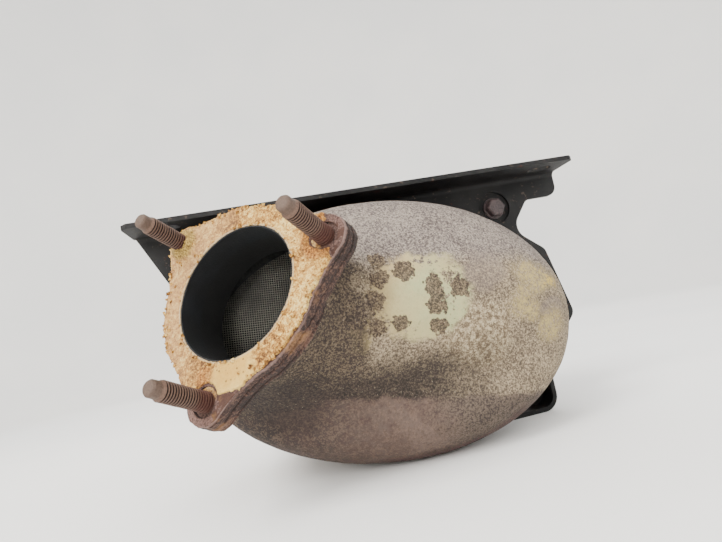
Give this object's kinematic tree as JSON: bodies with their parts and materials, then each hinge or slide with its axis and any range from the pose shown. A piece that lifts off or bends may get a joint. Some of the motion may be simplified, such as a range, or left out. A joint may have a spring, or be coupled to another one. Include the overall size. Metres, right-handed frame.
{
  "type": "catalytic converter",
  "caption": "Oval exhaust converter with a tilted flanged inlet on studs, a plain flanged outlet and a slotted pressed-steel bracket.",
  "frame": {"origin": "centre of the outlet bore on the outlet flange's face", "axes": "+Y along the gas flow, out of the outlet; +Z square to the bracket's slotted flange, upwards; +X along the bracket"},
  "size_m": [0.251, 0.2254, 0.1405],
  "materials": {
    "inlet_flange": "rusted plate",
    "gasket": "baked, sandy and torn",
    "stud": "rusted thread",
    "inlet_pipe": "dark soot inside",
    "weld": "rusted weld bead",
    "inlet_cone": "speckled rust on heat-tinted steel",
    "can": "speckled rust on heat-tinted steel",
    "mat": "ceramic fibre",
    "brick": "coated honeycomb",
    "seal_ring": "sooty",
    "outlet_cone": "speckled rust on heat-tinted steel",
    "outlet_pipe": "sooty inside",
    "outlet_flange": "rusted plate",
    "bracket": "worn black paint",
    "lug": "worn black paint with rust",
    "bolt": "dull dark steel",
    "nut": "dull dark steel"
  },
  "bodies": {
    "root": {"inlet_flange": "inlet_flange", "inlet_gasket": "gasket", "inlet_stud_upper_left": "stud", "inlet_stud_upper_right": "stud", "inlet_stud_lower": "stud", "inlet_weld": "weld", "inlet_pipe": "inlet_pipe", "inlet_cone": "inlet_cone", "front_rim_weld": "weld", "can_shell": "can", "support_mat": "mat", "substrate": "brick", "front_seal_ring": "seal_ring", "rear_seal_ring": "seal_ring", "rear_rim_weld": "weld", "outlet_cone": "outlet_cone", "outlet_pipe": "outlet_pipe", "collar_weld": "weld", "outlet_weld": "weld", "outlet_flange": "outlet_flange", "bracket": "bracket", "bracket_lug_left": "lug", "bracket_lug_right": "lug", "bracket_lug_side": "lug", "bracket_bolt_left": "bolt", "bracket_bolt_right": "bolt", "bracket_bolt_side": "bolt", "bracket_nut_left": "nut", "bracket_nut_right": "nut", "bracket_nut_side": "nut"}
  },
  "joints": []
}
